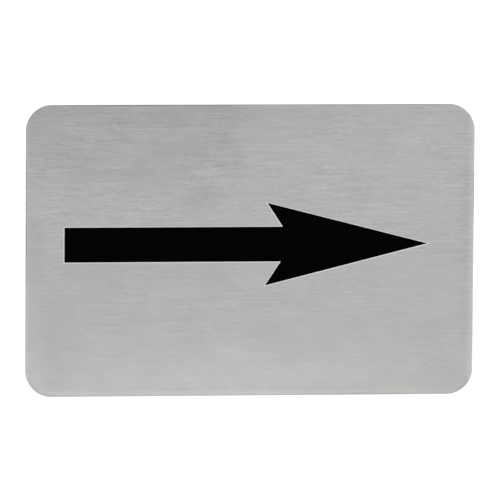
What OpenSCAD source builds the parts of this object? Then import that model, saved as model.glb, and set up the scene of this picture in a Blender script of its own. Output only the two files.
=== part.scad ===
// A direction plate: a brushed stainless-steel sheet with rounded corners, a black arrow in a
// shallow recess, and foam tape on its back. It stands upright as it does on a wall. X runs to
// the viewer's right, Z is up, the front faces -Y, and the origin is the middle of the tape's
// wall side.

/* [Plate] */
// Width of the plate
plate_w = 100; // [90:1:200]
// Height of the plate
plate_h = 65; // [40:1:140]
// Thickness of the sheet
plate_t = 1; // [0.8:0.1:3]
// Outer radius of the plate's corners
corner_r = 5.8; // [2:0.1:15]
// How far in from the edge the front rolls over
roll_w = 1.1; // [0.6:0.1:1.8]
// How far the front has dropped at the very edge
roll_drop = 0.25; // [0.1:0.05:0.5]

/* [Arrow] */
// Length of the arrow from tail to tip
arrow_l = 81.1; // [45:0.1:82]
// Width of the shaft
shaft_w = 7.8; // [3:0.05:14]
// Length of the head from the middle of its barbs to the tip
head_l = 36.2; // [15:0.1:38]
// Width of the head across its barbs
head_w = 18.5; // [15:0.1:36]
// How far the barbs sweep back from the notches
barb_sweep = 3.5; // [0:0.1:8]
// How far the head's upper half sits ahead of its lower half
head_skew = 0.45; // [0:0.05:1]
// Middle of the arrow, to the right of the plate's middle
arrow_x = -0.9; // [-3:0.05:2]
// Axis of the arrow, above the plate's middle
arrow_z = 1.4; // [-3:0.05:3]

/* [Recess and inlay] */
// Depth of the recess below the plate's face
recess_d = 0.3; // [0.2:0.05:0.5]
// Width of the bevel round the recess
lip_w = 0.16; // [0.05:0.01:0.3]
// Depth of the bevel, which is also how far the inlay sits below the face
lip_d = 0.08; // [0.03:0.01:0.15]
// Clearance between the inlay's side and the recess wall
inlay_clear = 0.01; // [0:0.005:0.05]

/* [Foam tape] */
// Thickness of the tape
tape_t = 0.8; // [0.4:0.1:3]
// How far the tape's edge stays inside the plate's
tape_inset = 3; // [1:0.5:10]

/* [Quality] */
// Steps in a full turn of a curve
turn_steps = 96; // [48:8:192]

/* [Hidden] */
$fn = turn_steps;

steel_color = [0.69, 0.69, 0.68];
enamel_color = [0.03, 0.03, 0.03];
foam_color = [0.85, 0.85, 0.82];

// A cut runs this far past the face that it opens
cut_over = 1;

// Radius of the flat face's corners, inside the rolled edge
face_r = corner_r - roll_w;
// Radius of the arc that leaves the face smoothly and falls by roll_drop over roll_w
roll_r = (roll_w ^ 2 + roll_drop ^ 2) / (2 * roll_drop);
// The tape's corners follow the plate's, but never get sharper than this
tape_min_r = 1;
tape_r = max(corner_r - tape_inset, tape_min_r);

// The arrow's outline, clockwise as the viewer sees it, from the tip
arrow_points =
    let (
        tail = arrow_x - arrow_l / 2,
        tip = arrow_x + arrow_l / 2,
        barb = tip - head_l,
        notch = barb + barb_sweep,
        skew = head_skew / 2
    )
    [
        [tip, arrow_z],
        [barb - skew, arrow_z - head_w / 2],
        [notch - skew, arrow_z - shaft_w / 2],
        [tail, arrow_z - shaft_w / 2],
        [tail, arrow_z + shaft_w / 2],
        [notch + skew, arrow_z + shaft_w / 2],
        [barb + skew, arrow_z + head_w / 2]
    ];

// The unit vector to the left of the way from one point to the next
function left_of(from, to) =
    let (way = (to - from) / norm(to - from))
    [-way.y, way.x];

// A clockwise outline with each of its sides moved outwards by the same distance
function grown(points, by) =
    let (n = len(points))
    [
        for (i = [0 : n - 1])
        let (
            before = left_of(points[(i + n - 1) % n], points[i]),
            after = left_of(points[i], points[(i + 1) % n])
        )
        points[i] + (before + after) * by / (1 + before * after)
    ];

// Stands a flat thing up with its underside at this depth behind the plate's face
module behind_face(depth) {
    translate([0, depth - plate_t - tape_t, 0])
    rotate([90, 0, 0])
    children();
}

// The plate's section from the centre of a corner out to the edge, lying on its back
module edge_section() {
    square([face_r, plate_t]);
    square([corner_r, plate_t - roll_drop]);
    intersection() {
        translate([face_r, plate_t - roll_drop])
        square([roll_w, roll_drop]);
        translate([face_r, plate_t - roll_r])
        circle(roll_r);
    }
}

// A straight stretch of the edge, facing +X
module edge_side(length) {
    translate([0, length / 2, 0])
    rotate([90, 0, 0])
    linear_extrude(length)
    edge_section();
}

module edge_corner() {
    rotate_extrude(angle = 90)
    edge_section();
}

// The plate lying on its back, before the recess is cut
module blank() {
    x = plate_w / 2 - corner_r;
    y = plate_h / 2 - corner_r;
    translate([-x, -y, 0])
    cube([2 * x, 2 * y, plate_t]);
    for (half_turn = [0, 180])
    rotate([0, 0, half_turn]) {
        translate([x, 0, 0])
        edge_side(2 * y);
        translate([x, y, 0])
        edge_corner();
        rotate([0, 0, 90]) {
            translate([y, 0, 0])
            edge_side(2 * x);
            translate([y, x, 0])
            edge_corner();
        }
    }
}

// Cuts the bevel, from its foot at the recess wall up and out past the plate's face.
// Each end is a fan of triangles from the tip, which sees all the other corners.
module lip_cutter() {
    n = len(arrow_points);
    top = 2 * lip_d;
    foot = [for (p = arrow_points) [p.x, p.y, 0]];
    rim = [for (p = grown(arrow_points, 2 * lip_w)) [p.x, p.y, top]];
    polyhedron(
        points = concat(foot, rim),
        faces = concat(
            [for (i = [1 : n - 2]) [0, i + 1, i]],
            [for (i = [1 : n - 2]) [n, n + i, n + i + 1]],
            [for (i = [0 : n - 1]) [i, (i + 1) % n, n + (i + 1) % n, n + i]]
        )
    );
}

module sign_plate() {
    color(steel_color)
    difference() {
        behind_face(plate_t)
        blank();
        behind_face(recess_d)
        linear_extrude(recess_d + cut_over)
        polygon(arrow_points);
        behind_face(lip_d)
        lip_cutter();
    }
}

module arrow_inlay() {
    color(enamel_color)
    behind_face(recess_d)
    linear_extrude(recess_d - lip_d)
    polygon(grown(arrow_points, -inlay_clear));
}

module adhesive_pad() {
    w = plate_w - 2 * tape_inset;
    h = plate_h - 2 * tape_inset;
    color(foam_color)
    behind_face(plate_t + tape_t)
    linear_extrude(tape_t) {
        square([w - 2 * tape_r, h], center = true);
        square([w, h - 2 * tape_r], center = true);
        for (x = [-1, 1], y = [-1, 1])
        translate([x * (w / 2 - tape_r), y * (h / 2 - tape_r)])
        circle(tape_r);
    }
}

sign_plate();
arrow_inlay();
adhesive_pad();
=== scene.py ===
"""An arrow sign: a brushed steel plate, a black arrow filled into its face, and foam tape on its back."""

import math

import bmesh
import bpy
from bpy.props import FloatProperty, FloatVectorProperty, IntProperty, PointerProperty
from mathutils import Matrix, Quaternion, Vector


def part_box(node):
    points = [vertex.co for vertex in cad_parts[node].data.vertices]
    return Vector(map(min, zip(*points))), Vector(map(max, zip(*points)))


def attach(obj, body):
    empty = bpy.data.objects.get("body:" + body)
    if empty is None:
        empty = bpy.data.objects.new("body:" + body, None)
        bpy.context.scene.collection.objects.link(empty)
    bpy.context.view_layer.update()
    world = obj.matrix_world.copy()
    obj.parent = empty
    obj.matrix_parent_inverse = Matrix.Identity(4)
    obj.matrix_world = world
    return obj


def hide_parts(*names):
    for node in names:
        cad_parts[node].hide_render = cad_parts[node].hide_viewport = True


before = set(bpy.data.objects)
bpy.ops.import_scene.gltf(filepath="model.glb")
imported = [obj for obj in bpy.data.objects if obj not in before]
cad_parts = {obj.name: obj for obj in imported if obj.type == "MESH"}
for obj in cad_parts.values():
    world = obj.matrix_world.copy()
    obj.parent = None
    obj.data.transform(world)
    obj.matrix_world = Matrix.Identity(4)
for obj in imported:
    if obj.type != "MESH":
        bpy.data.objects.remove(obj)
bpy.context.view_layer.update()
PLATE_LOW, PLATE_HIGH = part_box("sign_plate")
INLAY_LOW, INLAY_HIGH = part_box("arrow_inlay")
TAPE_LOW, TAPE_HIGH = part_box("adhesive_pad")

bl_info = {
    "name": "Arrow Sign",
    "version": (1, 0, 0),
    "blender": (4, 5, 0),
    "location": "3D View > Sidebar > Arrow Sign",
    "description": "Builds a brushed steel direction plate with a black arrow",
    "category": "Add Mesh",
}

BODY = "root"
MM = 0.001
SMOOTH_BELOW = math.radians(20)
MERGE_CLOSER = 0.001 * MM
ALMOST = 0.002 * MM
# How much of a direction runs along Y, for an edge or a normal that does, and for one that mostly does
ALONG_Y = 0.99
MOSTLY_ALONG_Y = 0.6

# Numbers of the Mix node's sockets when it mixes colours
MIX_FACTOR = 0
MIX_FIRST = 6
MIX_SECOND = 7
MIX_RESULT = 2
# Steps between nodes in the shader editor
NODE_STEP_X = 220
NODE_STEP_Y = 260

# Layers of brush strokes: length, height and wander in mm, contrast, seed, and share of the grain
GRAIN = (
    (11, 0.07, 0.3, 2.2, 29.0, 0.07),
    (1.1, 0.33, 0.4, 2.0, 3.0, 0.36),
    (5, 0.4, 0.5, 2.0, 11.0, 0.33),
    (22, 0.45, 0.5, 2.0, 17.0, 0.24),
)
# The few strong strokes: length, height and wander in mm, contrast and seed
STROKES = (2.8, 0.28, 0.2, 2.0, 43.0)
# A stroke shows by how far it is from this level, to this power, so that only the strong ones count
STROKE_LEVEL = 0.45
STROKE_POWER = 3.0
STROKE_GAIN = 1.3
# How much of the grain shows in the tone at the bottom and at the top, and between which heights it grows
GRAIN_BOTTOM, GRAIN_TOP = 0.203, 0.387
GRAIN_GROWS = (-25 * MM, 12 * MM)
# The grain is shallower in some patches and deeper in others, by these factors
GRAIN_PATCHES = (0.55, 1.45)
# Small blots show in full at the bottom and fade to this share at the top, between these heights
BLOTS_TOP = 0.2
BLOTS_FADE = (-20 * MM, 10 * MM)

# The face's smudges, and painted light and shade: middle x and z, half width, half height in mm, softness,
# and how much lighter it gets
# The wide dark band along the top is painted shade; the wide light band along the bottom and the light strip
# low on the left edge are painted light
SMUDGES_AND_PAINTED_LIGHT = (
    (-28, 31, 29.5, 16.5, 0.25, -0.08),
    (-10.4, 11.6, 5, 3, 0.4, -0.045),
    (-11.2, -5.8, 6, 2.5, 0.4, -0.035),
    (-4.9, 20.5, 3.5, 6, 0.5, -0.03),
    (-42.7, -16.6, 4.5, 15, 0.5, -0.025),
    (-49.8, -24, 4, 15, 0.5, 0.06),
    (48.7, 10.8, 2.5, 7, 0.4, -0.02),
    (5, 20, 17, 12, 0.7, -0.014),
    (33, 24, 20, 13, 0.7, 0.022),
    (-14, 33, 48, 5, 0.5, -0.042),
    (-2, -34, 56, 11.5, 0.6, 0.045),
    (-28, -5.4, 13, 3, 0.5, -0.035),
    (-16, 12.5, 8, 3, 0.5, -0.025),
    (-48, 0, 3, 7, 0.5, -0.035),
    (48.2, -3, 1, 24, 0.5, -0.035),
    (21, -32, 10, 2.5, 0.5, -0.035),
)
# A lighter patch along the bottom, painted light: middle x and z, half width, half height in mm, and softness
LIGHTER_BOTTOM_PATCH = (-12, -36, 40, 13, 0.7)
# Where the rolled edge's rim gets most painted shade: middle x and z, half width, half height in mm, and how
# much darker it gets
RIM_SHADE_PATCHES = (
    (-22, 32.5, 16, 4, 0.3),
    (-50, 6, 4, 13, 0.3),
    (27, -32.5, 10, 4, 0.25),
    (50, 13, 4, 5, 0.4),
)
RIM_SHADE_SOFTNESS = 0.5
# How much darker the painted shade makes the rolled edge in other places, at most
RIM_SHADE_ELSEWHERE = 0.12
# The painted shade fades in over twice this depth of the roll
RIM_BLUR = 0.03 * MM
# Painted highlights where the face turns lighter at its edges: axis, start and end in mm, and how much
# lighter
EDGE_HIGHLIGHTS = (
    ("Z", -30.9, -32.2, 0.11),
    ("X", 48.4, 49.6, 0.17),
    ("X", -48.9, -49.6, 0.1),
)

# The cut edge's burnished band, and the line where it turns into the torn one
BURNISHED = 0.62 * MM
TORN_BLUR = 0.08 * MM
TORN_WAVE = 0.25 * MM

# The floor's own glow for the camera: from and to this far from the sign's foot, and how strong
GLOW_REACH = (0.12, 0.9)
GLOW_STRENGTH = (0.3, 0.5)
FLOOR_PAINT = (0.88, 0.88, 0.88, 1)
# The lamps: place and target in metres, width in metres, power in watts, and spread in degrees
LAMPS = (
    ("left_softbox", (-0.571, -0.101, 0.155), (0, 0, 0), 0.25, 1.8, 180),
    ("right_softbox", (0.582, -0.103, 0.104), (0, 0, 0), 0.25, 1.2, 180),
    ("floor_lamp", (0.037, -0.25, 0.35), (0.037, -0.25, 0), 0.15, 0.13, 50),
)
CAMERA_REACH = 20


class PlateSizes(bpy.types.PropertyGroup):
    """The steel plate's sizes that its box doesn't give."""

    corner_radius: FloatProperty(
        name="Corner Radius", description="Outer radius of the plate's corners",
        default=5.8 * MM, unit="LENGTH", precision=5)
    roll_width: FloatProperty(
        name="Roll Width", description="How far in from the edge the front rolls over",
        default=1.1 * MM, unit="LENGTH", precision=5)
    roll_drop: FloatProperty(
        name="Roll Drop", description="How far the front has dropped at its very edge",
        default=0.25 * MM, unit="LENGTH", precision=5)
    edge_break: FloatProperty(
        name="Edge Break", description="Width of the fine bevel that tumbling leaves on the sheared edges",
        default=0.06 * MM, unit="LENGTH", precision=5)
    recess_depth: FloatProperty(
        name="Recess Depth", description="Depth of the arrow's recess below the face",
        default=0.3 * MM, unit="LENGTH", precision=5)
    lip_width: FloatProperty(
        name="Lip Width", description="Width of the bevel round the recess",
        default=0.16 * MM, unit="LENGTH", precision=5)
    lip_depth: FloatProperty(
        name="Lip Depth", description="Depth of the bevel round the recess",
        default=0.08 * MM, unit="LENGTH", precision=5)
    corner_steps: IntProperty(
        name="Corner Steps", description="Facets round each corner", default=28, min=4)
    roll_steps: IntProperty(
        name="Roll Steps", description="Facets across the rolled edge", default=8, min=2)


class ArrowSizes(bpy.types.PropertyGroup):
    """The arrow's outline and its enamel."""

    length: FloatProperty(
        name="Length", description="From the tail to the tip",
        default=81.1 * MM, unit="LENGTH", precision=5)
    shaft_width: FloatProperty(
        name="Shaft Width", description="Width of the shaft",
        default=7.8 * MM, unit="LENGTH", precision=5)
    head_length: FloatProperty(
        name="Head Length", description="From the middle of the barbs to the tip",
        default=36.2 * MM, unit="LENGTH", precision=5)
    head_width: FloatProperty(
        name="Head Width", description="Across the barbs",
        default=18.5 * MM, unit="LENGTH", precision=5)
    barb_sweep: FloatProperty(
        name="Barb Sweep", description="How far the barbs sweep back from the notches",
        default=3.5 * MM, unit="LENGTH", precision=5)
    head_skew: FloatProperty(
        name="Head Skew", description="How far the head's upper half sits ahead of its lower half",
        default=0.45 * MM, unit="LENGTH", precision=5)
    middle_x: FloatProperty(
        name="Middle X", description="Middle of the arrow, to the right of the plate's middle",
        default=-0.9 * MM, unit="LENGTH", precision=5)
    axis_z: FloatProperty(
        name="Axis Z", description="Axis of the arrow, above the plate's middle",
        default=1.4 * MM, unit="LENGTH", precision=5)
    clearance: FloatProperty(
        name="Clearance", description="Between the enamel's side and the recess wall",
        default=0.01 * MM, unit="LENGTH", precision=6)
    dish_width: FloatProperty(
        name="Dish Width", description="How far in from its edge the enamel sinks as it dries",
        default=0.3 * MM, unit="LENGTH", precision=5)
    dish_depth: FloatProperty(
        name="Dish Depth", description="How far the enamel has sunk in its middle",
        default=0.03 * MM, unit="LENGTH", precision=5)
    dish_steps: IntProperty(
        name="Dish Steps", description="Facets across the sinking edge of the enamel", default=3, min=1)


class TapeSizes(bpy.types.PropertyGroup):
    """The foam tape's sizes that its box doesn't give."""

    corner_radius: FloatProperty(
        name="Corner Radius", description="Radius of the tape's corners",
        default=2.8 * MM, unit="LENGTH", precision=5)
    film: FloatProperty(
        name="Film", description="Thickness of the adhesive on each side of the foam",
        default=0.07 * MM, unit="LENGTH", precision=5)
    waist: FloatProperty(
        name="Waist", description="How far the cut foam draws in between its adhesive films",
        default=0.08 * MM, unit="LENGTH", precision=5)
    corner_steps: IntProperty(
        name="Corner Steps", description="Facets round each corner", default=16, min=4)


class Finish(bpy.types.PropertyGroup):
    """Colours of the sign's surfaces."""

    steel: FloatVectorProperty(
        name="Steel", description="Mean colour of the brushed face",
        default=(0.4505, 0.4498, 0.4402), size=3, subtype="COLOR", min=0, max=1)
    # Painted light: the face's lighter colour along the bottom
    lit_bottom_steel: FloatVectorProperty(
        name="Rubbed Steel", description="Colour of the face where hands have rubbed it, along the bottom",
        default=(0.4893, 0.4776, 0.4679), size=3, subtype="COLOR", min=0, max=1)
    # Painted highlight: the lip's pale colour makes a bright line round the arrow
    lip_highlight_steel: FloatVectorProperty(
        name="Lip Steel", description="Colour of the etched bevel round the arrow",
        default=(0.76, 0.76, 0.75), size=3, subtype="COLOR", min=0, max=1)
    cut_steel: FloatVectorProperty(
        name="Cut Steel", description="Colour of the sheared edges",
        default=(0.16, 0.16, 0.157), size=3, subtype="COLOR", min=0, max=1)
    # Where the painted shade on the rolled edge starts
    rim_drop: FloatProperty(
        name="Rim Drop", description="How far the rolled edge has dropped where its dark rim starts",
        default=0.17 * MM, unit="LENGTH", precision=5)
    enamel: FloatVectorProperty(
        name="Enamel", description="Colour of the arrow",
        default=(0.0005, 0.0005, 0.0005), size=3, subtype="COLOR", min=0, max=1)
    foam: FloatVectorProperty(
        name="Foam", description="Colour of the tape's foam",
        default=(0.73, 0.72, 0.685), size=3, subtype="COLOR", min=0, max=1)


class StageSizes(bpy.types.PropertyGroup):
    """The floor, the lamps and the camera."""

    floor_drop: FloatProperty(
        name="Floor Drop", description="How far the floor lies below the plate",
        default=55 * MM, unit="LENGTH")
    floor_size: FloatProperty(
        name="Floor Size", description="Width and depth of the floor",
        default=12, unit="LENGTH")
    room_light: FloatProperty(
        name="Room Light", description="Strength of the even light from all round",
        default=0.75, min=0)
    camera_azimuth: FloatProperty(
        name="Camera Azimuth", description="How far round to the right the camera stands",
        default=math.radians(-6.116), unit="ROTATION")
    camera_elevation: FloatProperty(
        name="Camera Elevation", description="How far above the plate's middle the camera stands",
        default=math.radians(6.519), unit="ROTATION")
    camera_roll: FloatProperty(
        name="Camera Roll", description="Turn of the camera about its own line of sight",
        default=math.radians(0.382), unit="ROTATION")
    camera_distance: FloatProperty(
        name="Camera Distance", description="From the plate's face to the camera",
        default=1.4, unit="LENGTH")
    camera_aim: FloatVectorProperty(
        name="Camera Aim", description="What the camera looks at, from the middle of the plate's face",
        default=(-0.126 * MM, 0, 0.128 * MM), size=3, subtype="TRANSLATION", precision=5)
    lens: FloatProperty(
        name="Lens", description="Focal length in millimetres", default=453.97, unit="CAMERA")


class ArrowSign(bpy.types.PropertyGroup):
    """Everything that a user can set."""

    plate: PointerProperty(type=PlateSizes)
    arrow: PointerProperty(type=ArrowSizes)
    tape: PointerProperty(type=TapeSizes)
    finish: PointerProperty(type=Finish)
    stage: PointerProperty(type=StageSizes)


def clear_selection():
    """Leaves nothing selected and nothing open for editing."""
    if bpy.context.object and bpy.context.object.mode != "OBJECT":
        bpy.ops.object.mode_set(mode="OBJECT")
    bpy.ops.object.select_all(action="DESELECT")


def pick(piece, kind, test):
    """Selects the VERTs, EDGEs or FACEs of the mesh being edited that pass a test."""
    bpy.ops.mesh.select_mode(type=kind)
    bpy.ops.mesh.select_all(action="DESELECT")
    mesh = bmesh.from_edit_mesh(piece.data)
    for part in {"VERT": mesh.verts, "EDGE": mesh.edges, "FACE": mesh.faces}[kind]:
        if test(part):
            part.select_set(True)
    mesh.select_flush_mode()
    bmesh.update_edit_mesh(piece.data)


def runs_along_y(edge):
    """Is this edge square to the plate's face?"""
    way = edge.verts[1].co - edge.verts[0].co
    return abs(way.y) > ALONG_Y * way.length


def lies_at(y):
    """A test for edges and faces that lie in the plane at y."""
    return lambda part: all(abs(v.co.y - y) < ALMOST for v in part.verts)


def faces_front(face):
    """Does this face look straight at the viewer?"""
    return face.normal.y < -ALONG_Y


def rounded_slab(name, low, high, radius, steps):
    """A slab between two corners, its four edges along Y rounded, left open for editing."""
    clear_selection()
    bpy.ops.mesh.primitive_cube_add(size=1, location=(low + high) / 2, scale=high - low)
    piece = bpy.context.object
    piece.name = piece.data.name = name
    bpy.ops.object.transform_apply(location=True, rotation=True, scale=True)
    bpy.ops.object.mode_set(mode="EDIT")
    pick(piece, "EDGE", runs_along_y)
    bpy.ops.mesh.bevel(offset=radius, segments=steps, profile=0.5, affect="EDGES")
    return piece


def arrow_corners(arrow):
    """The arrow's corners seen from the front, clockwise from the tip, as (x, z)."""
    tail = arrow.middle_x - arrow.length / 2
    tip = arrow.middle_x + arrow.length / 2
    barb = tip - arrow.head_length
    notch = barb + arrow.barb_sweep
    skew = arrow.head_skew / 2
    half_head, half_shaft = arrow.head_width / 2, arrow.shaft_width / 2
    corners = (
        (tip, 0), (barb - skew, -half_head), (notch - skew, -half_shaft), (tail, -half_shaft),
        (tail, half_shaft), (notch + skew, half_shaft), (barb + skew, half_head),
    )
    return [Vector((x, arrow.axis_z + z)) for x, z in corners]


def grown(corners, by):
    """A clockwise outline with each of its sides moved outwards by the same distance."""
    out = []
    for i, corner in enumerate(corners):
        before = (corner - corners[i - 1]).normalized().orthogonal()
        after = (corners[(i + 1) % len(corners)] - corner).normalized().orthogonal()
        out.append(corner + (before + after) * by / (1 + before.dot(after)))
    return out


def drawn_face(name, corners, y):
    """A flat face drawn corner by corner with extruded vertices, left open for editing."""
    clear_selection()
    first = Vector((corners[0].x, y, corners[0].y))
    bpy.ops.mesh.primitive_plane_add(size=MM, location=first)
    piece = bpy.context.object
    piece.name = piece.data.name = name
    bpy.ops.object.transform_apply(location=True, rotation=True, scale=True)
    bpy.ops.object.mode_set(mode="EDIT")
    bpy.ops.mesh.select_mode(type="VERT")
    bpy.ops.mesh.select_all(action="SELECT")
    bpy.ops.mesh.merge(type="CENTER")
    for here, there in zip(corners, corners[1:], strict=False):
        way = there - here
        bpy.ops.mesh.extrude_vertices_move(TRANSFORM_OT_translate={"value": (way.x, 0, way.y)})
    bpy.ops.mesh.select_all(action="SELECT")
    bpy.ops.mesh.edge_face_add()
    return piece


def extrude_along_y(distance):
    """Extrudes what is selected towards the wall, or towards the viewer if distance is negative."""
    bpy.ops.mesh.extrude_region_move(TRANSFORM_OT_translate={"value": (0, distance, 0)})


def face_outwards():
    """Merges doubles and turns every face outwards."""
    bpy.ops.mesh.select_all(action="SELECT")
    bpy.ops.mesh.remove_doubles(threshold=MERGE_CLOSER)
    bpy.ops.mesh.normals_make_consistent(inside=False)


def cut_away(piece, cutter):
    """Takes the cutter's shape out of the piece, and removes the cutter."""
    clear_selection()
    bpy.context.view_layer.objects.active = piece
    piece.select_set(True)
    cut = piece.modifiers.new("Recess", "BOOLEAN")
    cut.operation = "DIFFERENCE"
    cut.solver = "EXACT"
    cut.object = cutter
    bpy.ops.object.modifier_apply(modifier=cut.name)
    bpy.data.objects.remove(cutter)


def dress(piece, *materials):
    """Gives the piece its materials, one slot each, and smooths what isn't a real edge."""
    clear_selection()
    bpy.context.view_layer.objects.active = piece
    piece.select_set(True)
    for material in materials:
        piece.data.materials.append(material)
    bpy.ops.object.shade_smooth_by_angle(angle=SMOOTH_BELOW)


def assign(piece, index, test):
    """Gives the faces that pass a test the material in this slot."""
    bpy.ops.object.mode_set(mode="EDIT")
    pick(piece, "FACE", test)
    piece.active_material_index = index
    bpy.ops.object.material_slot_assign()
    bpy.ops.object.mode_set(mode="OBJECT")


def place_nodes(tree):
    """Sets the nodes out from left to right, each left of all that it feeds."""
    column = {node: 0 for node in tree.nodes}
    for _ in tree.nodes:
        for link in tree.links:
            column[link.from_node] = max(column[link.from_node], column[link.to_node] + 1)
    filled = {}
    for node, steps in column.items():
        row = filled.get(steps, 0)
        node.location = (-NODE_STEP_X * steps, -NODE_STEP_Y * row)
        filled[steps] = row + 1


def add_node(tree, kind, feeds=None, settings=None, **inputs):
    """Adds a node with its settings, its plain input values, and what feeds its inputs."""
    made = tree.nodes.new(kind)
    for name, value in (settings or {}).items():
        setattr(made, name, value)
    for name, value in inputs.items():
        made.inputs[name.replace("_", " ")].default_value = value
    for name, output in (feeds or {}).items():
        tree.links.new(output, made.inputs[name])
    return made


def calculate(tree, operation, first, second=0.5, third=0.5):
    """A Math node on numbers or outputs."""
    made = tree.nodes.new("ShaderNodeMath")
    made.operation = operation
    for socket, value in zip(made.inputs, (first, second, third), strict=False):
        if isinstance(value, (int, float)):
            socket.default_value = value
        else:
            tree.links.new(value, socket)
    return made.outputs[0]


def remap(tree, value, low, high, to_low=0.0, to_high=1.0, smooth=False):
    """Maps the range low to high onto to_low to to_high, and clamps what lies outside."""
    made = tree.nodes.new("ShaderNodeMapRange")
    made.interpolation_type = "SMOOTHSTEP" if smooth else "LINEAR"
    for name, number in zip(
            ("From Min", "From Max", "To Min", "To Max"), (low, high, to_low, to_high), strict=True):
        made.inputs[name].default_value = number
    tree.links.new(value, made.inputs["Value"])
    return made.outputs[0]


def mix_colours(tree, factor, first, second):
    """A Mix node between two colours or colour outputs."""
    made = tree.nodes.new("ShaderNodeMix")
    made.data_type = "RGBA"
    for number, value in ((MIX_FACTOR, factor), (MIX_FIRST, first), (MIX_SECOND, second)):
        socket = made.inputs[number]
        if isinstance(value, bpy.types.NodeSocket):
            tree.links.new(value, socket)
        elif isinstance(value, (int, float)):
            socket.default_value = value
        else:
            socket.default_value = (*value, 1)
    return made.outputs[MIX_RESULT]


def shade(colour, factor):
    """A colour made lighter or darker by a factor."""
    return tuple(min(factor * part, 1.0) for part in colour)


def new_group(name, inputs, outputs):
    """An empty shader node group with named sockets, and its two end nodes."""
    tree = bpy.data.node_groups.new(name, "ShaderNodeTree")
    for label, kind, default in inputs:
        socket = tree.interface.new_socket(label, in_out="INPUT", socket_type=kind)
        if default is not None:
            socket.default_value = default
    for label, kind in outputs:
        tree.interface.new_socket(label, in_out="OUTPUT", socket_type=kind)
    return tree, tree.nodes.new("NodeGroupInput"), tree.nodes.new("NodeGroupOutput")


def use_group(tree, group, place, **values):
    """Places a group on a pattern's coordinates with its own values."""
    return add_node(
        tree, "ShaderNodeGroup", settings={"node_tree": group}, feeds={"Place": place}, **values
    ).outputs[0]


def brush_lines_group():
    """Streaks along X of a given length and height that wander a little, from 0 to 1 about a half."""
    tree, start, end = new_group(
        "Brush Lines",
        [("Place", "NodeSocketVector", None), ("Length", "NodeSocketFloat", 4 * MM),
         ("Height", "NodeSocketFloat", 0.3 * MM), ("Wander", "NodeSocketFloat", 0.5 * MM),
         ("Contrast", "NodeSocketFloat", 2.0), ("Seed", "NodeSocketFloat", 0.0)],
        [("Lines", "NodeSocketFloat")],
    )
    bend = add_node(
        tree, "ShaderNodeTexNoise", feeds={"Vector": start.outputs["Place"]},
        Scale=1 / (12.5 * MM), Detail=1.0, Roughness=0.4)
    shift = calculate(
        tree, "MULTIPLY", calculate(tree, "SUBTRACT", bend.outputs["Fac"], 0.5), start.outputs["Wander"])
    parts = add_node(tree, "ShaderNodeSeparateXYZ", feeds={0: start.outputs["Place"]})
    along = calculate(tree, "DIVIDE", parts.outputs["X"], start.outputs["Length"])
    across = calculate(
        tree, "DIVIDE", calculate(tree, "ADD", parts.outputs["Z"], shift), start.outputs["Height"])
    depth = calculate(tree, "ADD", start.outputs["Seed"], calculate(
        tree, "DIVIDE", parts.outputs["Y"], start.outputs["Height"]))
    joined = add_node(tree, "ShaderNodeCombineXYZ", feeds={"X": along, "Y": depth, "Z": across})
    lines = add_node(
        tree, "ShaderNodeTexNoise", feeds={"Vector": joined.outputs[0]},
        Scale=1.0, Detail=2.0, Roughness=0.5)
    swing = calculate(
        tree, "MULTIPLY", calculate(tree, "SUBTRACT", lines.outputs["Fac"], 0.5), start.outputs["Contrast"])
    tree.links.new(calculate(tree, "ADD", swing, 0.5), end.inputs["Lines"])
    place_nodes(tree)
    return tree


def soft_patches_group():
    """Soft cloudy patches of a given size, wider than tall, from 0 to 1 about a half."""
    tree, start, end = new_group(
        "Soft Patches",
        [("Place", "NodeSocketVector", None), ("Size", "NodeSocketFloat", 10 * MM),
         ("Stretch", "NodeSocketFloat", 1.0), ("Contrast", "NodeSocketFloat", 1.0),
         ("Seed", "NodeSocketFloat", 0.0)],
        [("Patches", "NodeSocketFloat")],
    )
    parts = add_node(tree, "ShaderNodeSeparateXYZ", feeds={0: start.outputs["Place"]})
    wide = calculate(tree, "MULTIPLY", start.outputs["Size"], start.outputs["Stretch"])
    across = calculate(tree, "DIVIDE", parts.outputs["X"], wide)
    depth = calculate(tree, "ADD", start.outputs["Seed"], calculate(
        tree, "DIVIDE", parts.outputs["Y"], start.outputs["Size"]))
    up = calculate(tree, "DIVIDE", parts.outputs["Z"], start.outputs["Size"])
    joined = add_node(tree, "ShaderNodeCombineXYZ", feeds={"X": across, "Y": depth, "Z": up})
    clouds = add_node(
        tree, "ShaderNodeTexNoise", feeds={"Vector": joined.outputs[0]},
        Scale=1.0, Detail=2.0, Roughness=0.5)
    swing = calculate(
        tree, "MULTIPLY", calculate(tree, "SUBTRACT", clouds.outputs["Fac"], 0.5), start.outputs["Contrast"])
    tree.links.new(calculate(tree, "ADD", swing, 0.5), end.inputs["Patches"])
    place_nodes(tree)
    return tree


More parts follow.
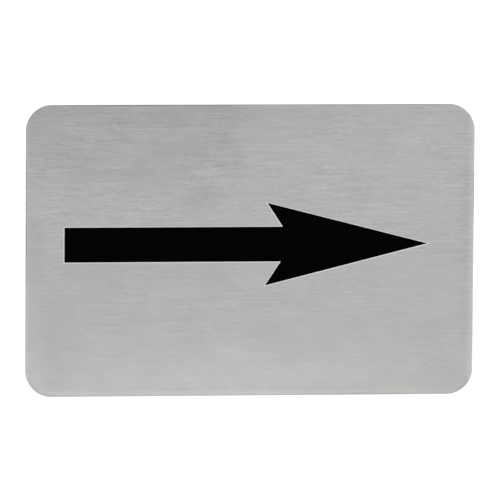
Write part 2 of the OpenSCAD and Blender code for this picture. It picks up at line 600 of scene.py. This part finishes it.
def soft_spot_group():
    """One soft-edged spot, an ellipse with a ragged outline, from 0 outside to 1 in its middle, for smudges
    and for painted light and shade.
    """
    tree, start, end = new_group(
        "Spot",
        [("Place", "NodeSocketVector", None), ("Middle X", "NodeSocketFloat", 0.0),
         ("Middle Z", "NodeSocketFloat", 0.0), ("Half Width", "NodeSocketFloat", 20 * MM),
         ("Half Height", "NodeSocketFloat", 10 * MM), ("Ragged", "NodeSocketFloat", 0.5),
         ("Softness", "NodeSocketFloat", 0.4)],
        [("Spot", "NodeSocketFloat")],
    )
    parts = add_node(tree, "ShaderNodeSeparateXYZ", feeds={0: start.outputs["Place"]})
    across, up = (
        calculate(tree, "DIVIDE", calculate(
            tree, "SUBTRACT", parts.outputs[axis], start.outputs["Middle " + axis]), start.outputs[half])
        for axis, half in (("X", "Half Width"), ("Z", "Half Height"))
    )
    away = add_node(tree, "ShaderNodeVectorMath", settings={"operation": "LENGTH"}, feeds={
        0: add_node(tree, "ShaderNodeCombineXYZ", feeds={"X": across, "Z": up}).outputs[0]})
    wisps = add_node(
        tree, "ShaderNodeTexNoise", feeds={"Vector": start.outputs["Place"]},
        Scale=1 / (12 * MM), Detail=2.0, Roughness=0.5)
    bent = calculate(
        tree, "MULTIPLY_ADD", calculate(tree, "SUBTRACT", wisps.outputs["Fac"], 0.5),
        start.outputs["Ragged"], away.outputs["Value"])
    made = tree.nodes.new("ShaderNodeMapRange")
    made.interpolation_type = "SMOOTHSTEP"
    tree.links.new(bent, made.inputs["Value"])
    tree.links.new(calculate(tree, "SUBTRACT", 1.0, start.outputs["Softness"]), made.inputs["From Min"])
    tree.links.new(calculate(tree, "ADD", 1.0, start.outputs["Softness"]), made.inputs["From Max"])
    made.inputs["To Min"].default_value = 1.0
    made.inputs["To Max"].default_value = 0.0
    tree.links.new(made.outputs[0], end.inputs["Spot"])
    place_nodes(tree)
    return tree


def new_material(name):
    """A material with only a Principled shader and its output."""
    material = bpy.data.materials.new(name)
    material.use_nodes = True
    tree = material.node_tree
    tree.nodes.clear()
    shader = tree.nodes.new("ShaderNodeBsdfPrincipled")
    output = tree.nodes.new("ShaderNodeOutputMaterial")
    tree.links.new(shader.outputs["BSDF"], output.inputs["Surface"])
    place = tree.nodes.new("ShaderNodeTexCoord").outputs["Object"]
    return material, tree, shader, place


def add_bump(tree, shader, height, distance):
    """Feeds the shader's Normal from a height of 0 to 1, which stands for this distance."""
    bump = add_node(tree, "ShaderNodeBump", feeds={"Height": height}, Strength=1.0, Distance=distance)
    tree.links.new(bump.outputs[0], shader.inputs["Normal"])


def brush_strokes(tree, lines, place, length, height, wander, contrast, seed):
    """One layer of brush strokes, with its sizes in mm."""
    return use_group(
        tree, lines, place, Length=length * MM, Height=height * MM, Wander=wander * MM,
        Contrast=contrast, Seed=seed)


def spot_mask(tree, spot, place, x, z, half_width, half_height, softness):
    """One spot's mask, with its middle and sizes in mm."""
    return use_group(
        tree, spot, place, Middle_X=x * MM, Middle_Z=z * MM, Half_Width=half_width * MM,
        Half_Height=half_height * MM, Softness=softness)


def grain_tone(tree, place, height, grain, lines, patches):
    """The tone that the brushing gives the face, about 1, stronger at the top and in patches."""
    strong = brush_strokes(tree, lines, place, *STROKES)
    strong = calculate(tree, "POWER", calculate(tree, "SUBTRACT", strong, STROKE_LEVEL), STROKE_POWER)
    swing = calculate(tree, "MULTIPLY_ADD", strong, STROKE_GAIN, calculate(tree, "SUBTRACT", grain, 0.5))
    uneven = use_group(tree, patches, place, Size=8 * MM, Stretch=1.8, Contrast=2.4, Seed=37.0)
    depth = calculate(
        tree, "MULTIPLY", remap(tree, height, *GRAIN_GROWS, GRAIN_BOTTOM, GRAIN_TOP, smooth=True),
        remap(tree, uneven, 0, 1, *GRAIN_PATCHES))
    return calculate(tree, "MULTIPLY_ADD", swing, depth, 1.0)


def marks_and_painted_light_tone(tree, place, height, tone, patches, spot):
    """The tone with random clouds and blots, and the smudges, which hold painted shade along the top and
    painted light along the bottom and the left edge.
    """
    clouds = use_group(tree, patches, place, Size=7 * MM, Stretch=1.4, Contrast=0.1, Seed=5.0)
    tone = calculate(tree, "ADD", tone, calculate(tree, "SUBTRACT", clouds, 0.5))
    blots = use_group(tree, patches, place, Size=2.6 * MM, Stretch=2.2, Contrast=0.12, Seed=31.0)
    fade = remap(tree, height, *BLOTS_FADE, 1.0, BLOTS_TOP, smooth=True)
    tone = calculate(tree, "MULTIPLY_ADD", calculate(tree, "SUBTRACT", blots, 0.5), fade, tone)
    # Smudges, with painted shade along the top and painted light along the bottom and the left edge
    for *shape, change in SMUDGES_AND_PAINTED_LIGHT:
        tone = calculate(tree, "MULTIPLY_ADD", spot_mask(tree, spot, place, *shape), change, tone)
    return tone


def painted_rim_shade(tree, place, depth, rim, patches, spot):
    """Painted shade: how much darker the edge is once it has dropped past the rim, most of all in the listed
    patches.
    """
    dark = use_group(tree, patches, place, Size=9 * MM, Contrast=1.6, Seed=13.0)
    shade_amount = remap(tree, dark, 0, 1, 0.0, RIM_SHADE_ELSEWHERE)
    for *shape, change in RIM_SHADE_PATCHES:
        mask = spot_mask(tree, spot, place, *shape, RIM_SHADE_SOFTNESS)
        shade_amount = calculate(tree, "MULTIPLY_ADD", mask, change, shade_amount)
    return calculate(
        tree, "MULTIPLY", shade_amount, remap(tree, depth, rim - RIM_BLUR, rim + RIM_BLUR, smooth=True))


def brushed_steel(finish, lines, patches, spot):
    """The plate's face: satin steel brushed from side to side, deeper at the top, and marked, with painted
    shade along the top and on the rolled edge's rim, and painted light along the bottom and the edges.
    """
    material, tree, shader, place = new_material("brushed_steel_face")
    parts = add_node(tree, "ShaderNodeSeparateXYZ", feeds={0: place}).outputs
    grain = 0.0
    for *layer, share in GRAIN:
        grain = calculate(tree, "MULTIPLY_ADD", brush_strokes(tree, lines, place, *layer), share, grain)
    tone = grain_tone(tree, place, parts["Z"], grain, lines, patches)
    tone = marks_and_painted_light_tone(tree, place, parts["Z"], tone, patches, spot)
    rim = PLATE_LOW.y + finish.rim_drop
    # Painted shade on the rolled edge's rim
    tone = calculate(tree, "SUBTRACT", tone, painted_rim_shade(tree, place, parts["Y"], rim, patches, spot))
    # Painted highlights along the bottom, right and left edges
    for axis, start, end, change in EDGE_HIGHLIGHTS:
        tone = calculate(tree, "ADD", tone, remap(tree, parts[axis], start * MM, end * MM, 0.0, change))
    # Painted light: the face turns lighter along the bottom
    steel = mix_colours(
        tree, spot_mask(tree, spot, place, *LIGHTER_BOTTOM_PATCH), finish.steel, finish.lit_bottom_steel)
    colour = add_node(
        tree, "ShaderNodeVectorMath", settings={"operation": "SCALE"}, feeds={0: steel, "Scale": tone})
    tree.links.new(colour.outputs[0], shader.inputs["Base Color"])
    shader.inputs["Metallic"].default_value = 1.0
    shader.inputs["Anisotropic"].default_value = 0.6
    tree.links.new(remap(tree, grain, 0, 1, 0.33, 0.43), shader.inputs["Roughness"])
    add_bump(tree, shader, grain, 0.003 * MM)
    up = add_node(tree, "ShaderNodeCombineXYZ", Z=1.0)
    tree.links.new(up.outputs[0], shader.inputs["Tangent"])
    place_nodes(tree)
    return material


def etched_lip(finish, patches):
    """The bevel that etching leaves round the arrow, with a painted highlight: its pale colour makes a bright
    line.
    """
    material, tree, shader, place = new_material("etched_steel_lip")
    pits = use_group(tree, patches, place, Size=0.3 * MM, Contrast=1.5)
    colour = mix_colours(tree, pits, shade(finish.lip_highlight_steel, 0.9), shade(finish.lip_highlight_steel, 1.1))
    tree.links.new(colour, shader.inputs["Base Color"])
    tree.links.new(remap(tree, pits, 0, 1, 0.65, 0.8), shader.inputs["Roughness"])
    shader.inputs["Metallic"].default_value = 1.0
    place_nodes(tree)
    return material


def sheared_edge(finish, patches):
    """The sheet's cut edge: a burnished band behind the face, then the dull torn band."""
    material, tree, shader, place = new_material("sheared_steel_edge")
    parts = add_node(tree, "ShaderNodeSeparateXYZ", feeds={0: place})
    wave = use_group(tree, patches, place, Size=1.2 * MM, Contrast=1.0, Seed=2.0)
    border = calculate(tree, "MULTIPLY_ADD", wave, TORN_WAVE, parts.outputs["Y"])
    start = PLATE_LOW.y + BURNISHED
    torn = remap(tree, border, start, start + TORN_BLUR, smooth=True)
    marks = use_group(tree, patches, place, Size=0.12 * MM, Contrast=1.6, Seed=7.0)
    smooth = mix_colours(tree, marks, shade(finish.cut_steel, 0.95), shade(finish.cut_steel, 1.2))
    rough = mix_colours(tree, marks, shade(finish.cut_steel, 0.55), shade(finish.cut_steel, 0.95))
    tree.links.new(mix_colours(tree, torn, smooth, rough), shader.inputs["Base Color"])
    tree.links.new(remap(tree, torn, 0, 1, 0.35, 0.7), shader.inputs["Roughness"])
    shader.inputs["Metallic"].default_value = 1.0
    add_bump(tree, shader, calculate(tree, "MULTIPLY", marks, torn), 0.02 * MM)
    place_nodes(tree)
    return material


def mill_back(finish, lines, patches):
    """The plate's back: the sheet as it came from the mill."""
    material, tree, shader, place = new_material("mill_steel_back")
    faint = use_group(
        tree, lines, place, Length=20 * MM, Height=0.5 * MM, Wander=0.1 * MM, Contrast=1.4, Seed=21.0)
    clouds = use_group(tree, patches, place, Size=6 * MM, Stretch=1.5, Contrast=1.2, Seed=9.0)
    both = calculate(tree, "MULTIPLY_ADD", faint, 0.5, calculate(tree, "MULTIPLY", clouds, 0.5))
    colour = mix_colours(tree, both, shade(finish.steel, 0.9), shade(finish.steel, 1.12))
    tree.links.new(colour, shader.inputs["Base Color"])
    tree.links.new(remap(tree, both, 0, 1, 0.28, 0.42), shader.inputs["Roughness"])
    shader.inputs["Metallic"].default_value = 1.0
    place_nodes(tree)
    return material


def black_enamel(finish, patches):
    """The arrow's fill: black enamel dried to a satin skin."""
    material, tree, shader, place = new_material("black_enamel")
    peel = use_group(tree, patches, place, Size=0.8 * MM, Contrast=1.6, Seed=4.0)
    colour = mix_colours(tree, peel, shade(finish.enamel, 0.8), shade(finish.enamel, 1.2))
    tree.links.new(colour, shader.inputs["Base Color"])
    tree.links.new(remap(tree, peel, 0, 1, 0.4, 0.5), shader.inputs["Roughness"])
    shader.inputs["Specular IOR Level"].default_value = 0.01
    add_bump(tree, shader, peel, 0.006 * MM)
    place_nodes(tree)
    return material


def tape_foam(finish, patches):
    """The cut side of the foam, full of fine cells, with painted shade in the pores."""
    material, tree, shader, place = new_material("tape_foam")
    cells = add_node(
        tree, "ShaderNodeTexVoronoi", feeds={"Vector": place}, Scale=1 / (0.16 * MM), Randomness=1.0)
    pores_and_shade = remap(tree, cells.outputs["Distance"], 0.1, 0.55, smooth=True)
    clouds = use_group(tree, patches, place, Size=2.5 * MM, Contrast=1.2, Seed=6.0)
    pale = mix_colours(tree, clouds, shade(finish.foam, 0.95), shade(finish.foam, 1.05))
    # Painted shade: the pores are darker than the foam round them
    tree.links.new(mix_colours(tree, pores_and_shade, shade(finish.foam, 0.7), pale), shader.inputs["Base Color"])
    tree.links.new(remap(tree, clouds, 0, 1, 0.75, 0.9), shader.inputs["Roughness"])
    shader.inputs["Specular IOR Level"].default_value = 0.3
    add_bump(tree, shader, pores_and_shade, 0.05 * MM)
    place_nodes(tree)
    return material


def tape_adhesive(finish, patches):
    """The film of clear adhesive on the tape's wall side, dimpled by the liner that came off it, with painted
    shade in the dimples.
    """
    material, tree, shader, place = new_material("tape_adhesive")
    dimples = add_node(
        tree, "ShaderNodeTexVoronoi", settings={"feature": "SMOOTH_F1"}, feeds={"Vector": place},
        Scale=1 / (1.1 * MM), Randomness=0.85)
    hollows_and_shade = remap(tree, dimples.outputs["Distance"], 0.05, 0.6, smooth=True)
    clouds = use_group(tree, patches, place, Size=8 * MM, Stretch=1.3, Contrast=1.4, Seed=8.0)
    pale = mix_colours(tree, clouds, shade(finish.foam, 0.93), shade(finish.foam, 1.04))
    # Painted shade: the dimples are darker in their middles
    tree.links.new(mix_colours(tree, hollows_and_shade, shade(finish.foam, 0.92), pale), shader.inputs["Base Color"])
    tree.links.new(remap(tree, clouds, 0, 1, 0.32, 0.5), shader.inputs["Roughness"])
    add_bump(tree, shader, hollows_and_shade, 0.05 * MM)
    place_nodes(tree)
    return material


class ARROWSIGN_OT_plate(bpy.types.Operator):
    """Builds the brushed steel plate with its rolled edge and the recess for the arrow"""

    bl_idname = "arrow_sign.plate"
    bl_label = "Steel Plate"

    def execute(self, context):
        sign = context.scene.arrow_sign
        plate = sign.plate
        face = PLATE_LOW.y
        rim = Vector((PLATE_LOW.x, face + plate.roll_drop, PLATE_LOW.z))
        piece = rounded_slab("steel_plate", rim, PLATE_HIGH, plate.corner_radius, plate.corner_steps)
        pick(piece, "EDGE", lies_at(PLATE_HIGH.y))
        bpy.ops.mesh.bevel(offset=plate.edge_break, segments=2, affect="EDGES")
        self.roll_edge(piece, plate)
        face_outwards()
        corners = arrow_corners(sign.arrow)
        cut_away(piece, self.pocket(corners, face, plate))
        cut_away(piece, self.lip(corners, face, plate))
        lines, patches, spot = brush_lines_group(), soft_patches_group(), soft_spot_group()
        dress(
            piece,
            brushed_steel(sign.finish, lines, patches, spot),
            etched_lip(sign.finish, patches),
            sheared_edge(sign.finish, patches),
            mill_back(sign.finish, lines, patches),
        )
        assign(piece, 1, lambda f: self.in_recess(f, plate) and not lies_at(face)(f))
        assign(piece, 2, lambda f: abs(f.normal.y) < MOSTLY_ALONG_Y and not self.in_recess(f, plate))
        assign(piece, 3, lambda f: f.normal.y > MOSTLY_ALONG_Y)
        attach(piece, BODY)
        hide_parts("sign_plate")
        return {"FINISHED"}

    def in_recess(self, face, plate):
        """Is this face well inside the rolled edge, and in front of the plate's back?"""
        middle = face.calc_center_median()
        margin = plate.corner_radius
        return (abs(middle.x) < PLATE_HIGH.x - margin and abs(middle.z) < PLATE_HIGH.z - margin
                and middle.y < PLATE_HIGH.y - ALMOST)

    def roll_edge(self, piece, plate):
        """Raises the front face ring by ring along the roll's arc."""
        width, drop, steps = plate.roll_width, plate.roll_drop, plate.roll_steps
        radius = (width ** 2 + drop ** 2) / (2 * drop)
        widest = math.asin(width / radius)
        angles = [widest * (1 - i / steps) for i in range(steps + 1)]
        pick(piece, "FACE", faces_front)
        for outer, inner in zip(angles, angles[1:], strict=False):
            bpy.ops.mesh.inset(
                thickness=radius * (math.sin(outer) - math.sin(inner)),
                depth=radius * (math.cos(inner) - math.cos(outer)),
            )
        bpy.ops.mesh.inset(thickness=width / 2, depth=0)

    def pocket(self, corners, face, plate):
        """The arrow-shaped block that cuts the recess."""
        cutter = drawn_face("pocket_cutter", corners, face - plate.recess_depth)
        extrude_along_y(2 * plate.recess_depth)
        face_outwards()
        return cutter

    def lip(self, corners, face, plate):
        """The flared block that bevels the recess, from its foot out past the face."""
        foot = drawn_face("lip_cutter", corners, face + plate.lip_depth)
        rim = drawn_face("lip_rim", grown(corners, 2 * plate.lip_width), face - plate.lip_depth)
        clear_selection()
        rim.select_set(True)
        foot.select_set(True)
        bpy.context.view_layer.objects.active = foot
        bpy.ops.object.join()
        bpy.ops.object.mode_set(mode="EDIT")
        bpy.ops.mesh.select_mode(type="EDGE")
        bpy.ops.mesh.select_all(action="SELECT")
        bpy.ops.mesh.bridge_edge_loops()
        face_outwards()
        return foot


class ARROWSIGN_OT_arrow(bpy.types.Operator):
    """Builds the black enamel arrow in the plate's recess"""

    bl_idname = "arrow_sign.arrow"
    bl_label = "Enamel Arrow"

    def execute(self, context):
        sign = context.scene.arrow_sign
        arrow = sign.arrow
        piece = drawn_face("enamel_arrow", grown(arrow_corners(arrow), -arrow.clearance), INLAY_HIGH.y)
        extrude_along_y(INLAY_LOW.y - INLAY_HIGH.y)
        face_outwards()
        pick(piece, "FACE", faces_front)
        steps = arrow.dish_steps
        for i in range(steps):
            before, after = (math.sin(math.pi / 2 * n / steps) for n in (i, i + 1))
            bpy.ops.mesh.inset(
                thickness=arrow.dish_width / steps, depth=-arrow.dish_depth * (after - before))
        bpy.ops.object.mode_set(mode="OBJECT")
        dress(piece, black_enamel(sign.finish, bpy.data.node_groups["Soft Patches"]))
        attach(piece, BODY)
        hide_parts("arrow_inlay")
        return {"FINISHED"}


class ARROWSIGN_OT_tape(bpy.types.Operator):
    """Builds the double-sided foam tape on the plate's back"""

    bl_idname = "arrow_sign.tape"
    bl_label = "Foam Tape"

    def execute(self, context):
        sign = context.scene.arrow_sign
        tape = sign.tape
        piece = rounded_slab("foam_tape", TAPE_LOW, TAPE_HIGH, tape.corner_radius, tape.corner_steps)
        self.shape_side(piece, tape)
        face_outwards()
        bpy.ops.object.mode_set(mode="OBJECT")
        patches = bpy.data.node_groups["Soft Patches"]
        dress(piece, tape_foam(sign.finish, patches), tape_adhesive(sign.finish, patches))
        assign(piece, 1, lambda f: abs(f.normal.y) > MOSTLY_ALONG_Y)
        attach(piece, BODY)
        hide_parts("adhesive_pad")
        return {"FINISHED"}

    def shape_side(self, piece, tape):
        """Rebuilds the slab as layers: film, foam with a slight waist, film."""
        back = TAPE_HIGH.y
        depth = TAPE_HIGH.y - TAPE_LOW.y
        pick(piece, "FACE", lambda f: abs(f.normal.y) < MOSTLY_ALONG_Y)
        bpy.ops.mesh.delete(type="ONLY_FACE")
        pick(piece, "FACE", lies_at(TAPE_LOW.y))
        bpy.ops.mesh.delete(type="FACE")
        pick(piece, "FACE", lies_at(back))
        shoulder = depth / 10
        half = depth / 2 - shoulder - tape.film
        layers = (
            (tape.film, 0), (shoulder, -tape.waist), (half, -tape.waist / 2),
            (half, tape.waist / 2), (shoulder, tape.waist), (tape.film, 0),
        )
        wide = TAPE_HIGH.x - TAPE_LOW.x
        high = TAPE_HIGH.z - TAPE_LOW.z
        for thickness, swell in layers:
            extrude_along_y(-thickness)
            if swell:
                bpy.ops.transform.resize(value=(1 + 2 * swell / wide, 1, 1 + 2 * swell / high))


class ARROWSIGN_OT_stage(bpy.types.Operator):
    """Sets the floor, the light and the camera"""

    bl_idname = "arrow_sign.stage"
    bl_label = "Stage"

    def execute(self, context):
        stage = context.scene.arrow_sign.stage
        context.scene.view_settings.view_transform = "Standard"
        self.floor(stage)
        self.world(context.scene, stage)
        for lamp in LAMPS:
            self.lamp(*lamp)
        self.camera(context.scene, stage)
        return {"FINISHED"}

    def floor(self, stage):
        """A pale floor that glows a little for the camera alone, and so looks white but keeps its shadows."""
        clear_selection()
        bpy.ops.mesh.primitive_plane_add(
            size=stage.floor_size, location=(0, 0, PLATE_LOW.z - stage.floor_drop))
        floor = bpy.context.object
        floor.name = floor.data.name = "floor"
        bpy.ops.object.transform_apply(location=True, rotation=True, scale=True)
        material = bpy.data.materials.new("white_floor")
        material.use_nodes = True
        tree = material.node_tree
        tree.nodes.clear()
        path = tree.nodes.new("ShaderNodeLightPath").outputs
        place = tree.nodes.new("ShaderNodeTexCoord").outputs["Object"]
        away = add_node(
            tree, "ShaderNodeVectorMath", settings={"operation": "LENGTH"}, feeds={0: place}).outputs["Value"]
        glow = remap(tree, away, *GLOW_REACH, *GLOW_STRENGTH)
        seen = calculate(tree, "MULTIPLY", path["Is Camera Ray"], glow)
        paint = add_node(tree, "ShaderNodeBsdfDiffuse", Color=FLOOR_PAINT)
        light = add_node(tree, "ShaderNodeEmission", feeds={"Strength": seen})
        both = add_node(tree, "ShaderNodeAddShader", feeds={0: paint.outputs[0], 1: light.outputs[0]})
        add_node(tree, "ShaderNodeOutputMaterial", feeds={"Surface": both.outputs[0]})
        place_nodes(tree)
        floor.data.materials.append(material)

    def world(self, scene, stage):
        """Even light from all round, and a white ground for the camera."""
        world = bpy.data.worlds.new("studio")
        scene.world = world
        world.use_nodes = True
        tree = world.node_tree
        tree.nodes.clear()
        path = tree.nodes.new("ShaderNodeLightPath").outputs
        clear = calculate(tree, "MAXIMUM", calculate(
            tree, "MAXIMUM", path["Is Camera Ray"], path["Is Glossy Ray"]), path["Is Transmission Ray"])
        strength = add_node(
            tree, "ShaderNodeMix", feeds={0: clear}, A=stage.room_light, B=1.0)
        light = add_node(
            tree, "ShaderNodeBackground", feeds={"Strength": strength.outputs[0]}, Color=(1, 1, 1, 1))
        add_node(tree, "ShaderNodeOutputWorld", feeds={"Surface": light.outputs[0]})
        place_nodes(tree)

    def lamp(self, name, place, target, size, power, spread):
        """A square soft lamp that shines from its place at its target."""
        data = bpy.data.lights.new(name, "AREA")
        data.shape = "SQUARE"
        data.size = size
        data.energy = power
        data.spread = math.radians(spread)
        lamp = bpy.data.objects.new(name, data)
        bpy.context.scene.collection.objects.link(lamp)
        lamp.location = place
        lamp.rotation_mode = "QUATERNION"
        lamp.rotation_quaternion = (Vector(target) - Vector(place)).to_track_quat("-Z", "Y")

    def camera(self, scene, stage):
        """The photograph's view: from a little left of the sign and a little above it."""
        azimuth, elevation = stage.camera_azimuth, stage.camera_elevation
        back = Vector((
            math.sin(azimuth) * math.cos(elevation),
            -math.cos(azimuth) * math.cos(elevation),
            math.sin(elevation),
        ))
        data = bpy.data.cameras.new("camera")
        data.lens = stage.lens
        data.clip_end = CAMERA_REACH
        camera = bpy.data.objects.new("camera", data)
        scene.collection.objects.link(camera)
        aim = Vector((0, PLATE_LOW.y, 0)) + Vector(stage.camera_aim)
        camera.location = aim + back * stage.camera_distance
        camera.rotation_mode = "QUATERNION"
        turn = Quaternion((0, 0, 1), stage.camera_roll)
        camera.rotation_quaternion = (-back).to_track_quat("-Z", "Y") @ turn
        scene.camera = camera


class ARROWSIGN_PT_panel(bpy.types.Panel):
    """Lists the sign's builders in the 3D view's sidebar"""

    bl_idname = "ARROWSIGN_PT_panel"
    bl_label = "Arrow Sign"
    bl_space_type = "VIEW_3D"
    bl_region_type = "UI"
    bl_category = "Arrow Sign"

    def draw(self, context):
        for builder in BUILDERS:
            self.layout.operator(builder.bl_idname)


BUILDERS = (ARROWSIGN_OT_plate, ARROWSIGN_OT_arrow, ARROWSIGN_OT_tape, ARROWSIGN_OT_stage)
CLASSES = (
    PlateSizes, ArrowSizes, TapeSizes, Finish, StageSizes, ArrowSign, *BUILDERS, ARROWSIGN_PT_panel,
)


def register():
    for cls in CLASSES:
        bpy.utils.register_class(cls)
    bpy.types.Scene.arrow_sign = PointerProperty(type=ArrowSign)


def unregister():
    del bpy.types.Scene.arrow_sign
    for cls in reversed(CLASSES):
        bpy.utils.unregister_class(cls)


def main():
    register()
    bpy.ops.arrow_sign.plate()
    bpy.ops.arrow_sign.arrow()
    bpy.ops.arrow_sign.tape()
    bpy.ops.arrow_sign.stage()


if __name__ == "__main__":
    main()
